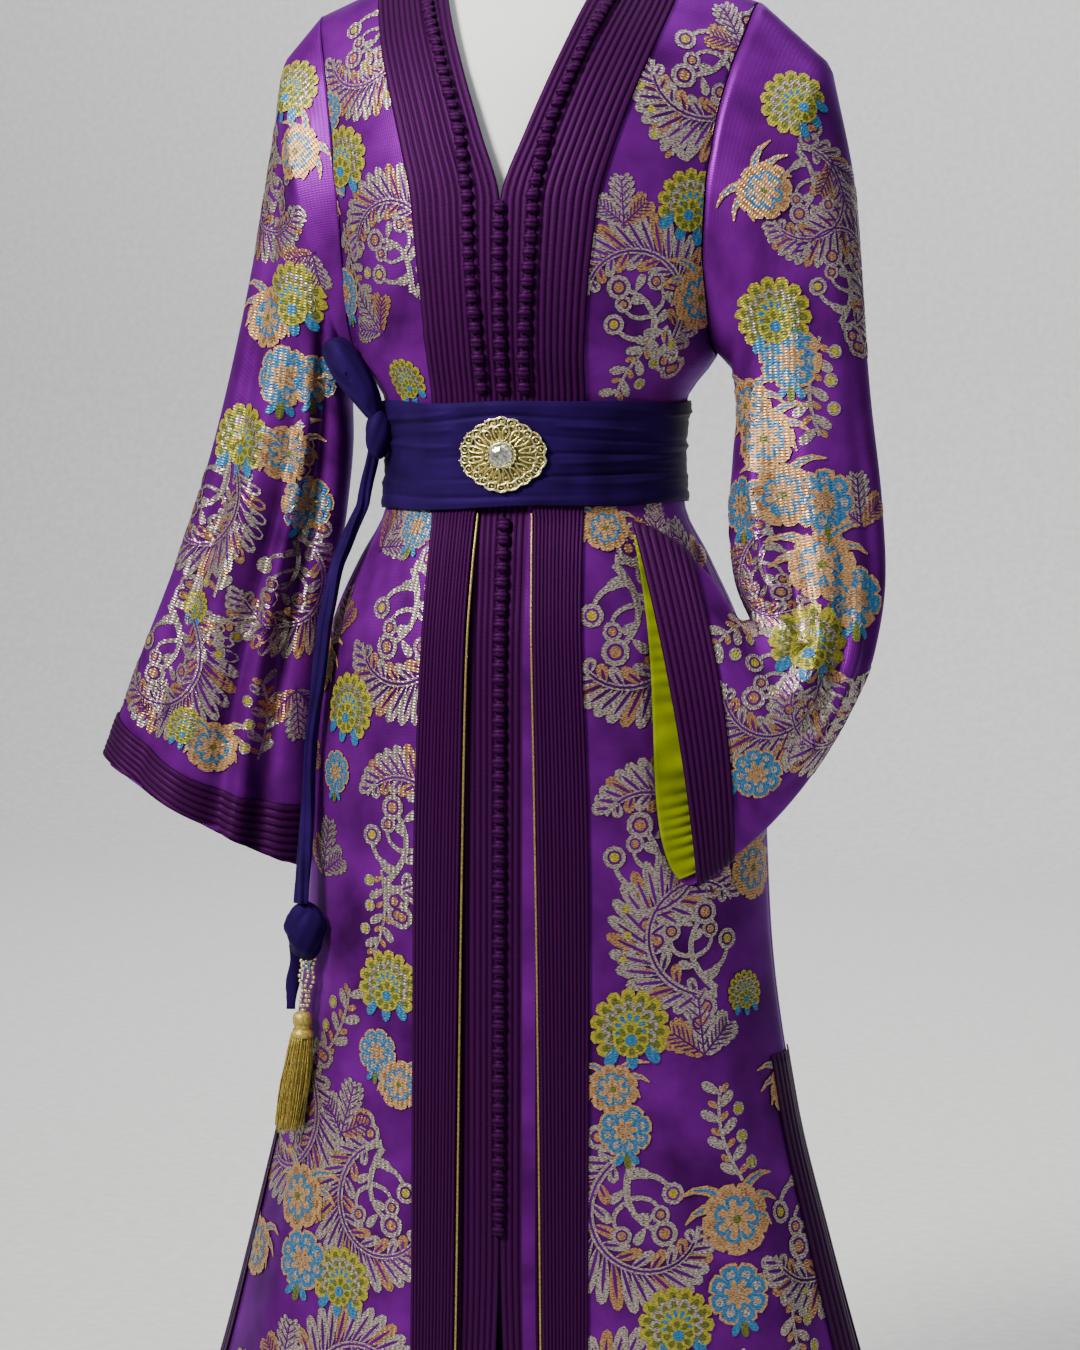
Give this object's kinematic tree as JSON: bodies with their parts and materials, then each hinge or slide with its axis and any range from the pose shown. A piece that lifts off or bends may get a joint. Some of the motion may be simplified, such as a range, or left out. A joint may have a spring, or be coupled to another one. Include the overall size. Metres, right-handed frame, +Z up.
{
  "type": "kaftan on dress form",
  "caption": "Floor-length brocade kaftan with braided bands, knotted buttons and a buckled sash, worn by a limbless dress form on a round base.",
  "frame": {"origin": "middle of the underside of the round base, on the floor", "axes": "+Z up, the front faces -Y, the wearer's left is +X"},
  "size_m": [0.7826, 0.4588, 1.582],
  "materials": {
    "brocade": "silk brocade with metallic thread",
    "braid": "ribbed braid",
    "indigo_satin": "folded satin",
    "lime_satin": "satin",
    "gold_cord": "metallic cord",
    "gold_thread": "metallic thread",
    "gilt": "polished filigree",
    "crystal": "faceted",
    "linen": "plain cover",
    "stand_paint": "satin"
  },
  "bodies": {
    "root": {"back": "brocade", "front_left": "brocade", "front_right": "brocade", "sleeve_left": "brocade", "sleeve_right": "brocade", "band_left": "braid", "band_right": "braid", "band_neck": "braid", "cuff_left": "braid", "cuff_right": "braid", "slit_band_front_left": "braid", "slit_band_front_right": "braid", "slit_band_back_left": "braid", "slit_band_back_right": "braid", "placket_left": "braid", "placket_right": "braid", "knots_left": "braid", "knots_right": "braid", "knots_middle": "braid", "knots_lower": "braid", "knots_neck": "braid", "piping_left": "gold_cord", "piping_right": "gold_cord", "lining_left": "lime_satin", "sash": "indigo_satin", "sash_loop": "indigo_satin", "sash_tail": "indigo_satin", "tail_knot": "indigo_satin", "tassel_cord": "gold_thread", "tassel": "gold_thread", "buckle_plate": "gilt", "buckle_stone": "crystal", "form_torso": "linen", "form_neck_cap": "stand_paint", "stand_pole": "stand_paint", "stand_base": "stand_paint"}
  },
  "joints": []
}
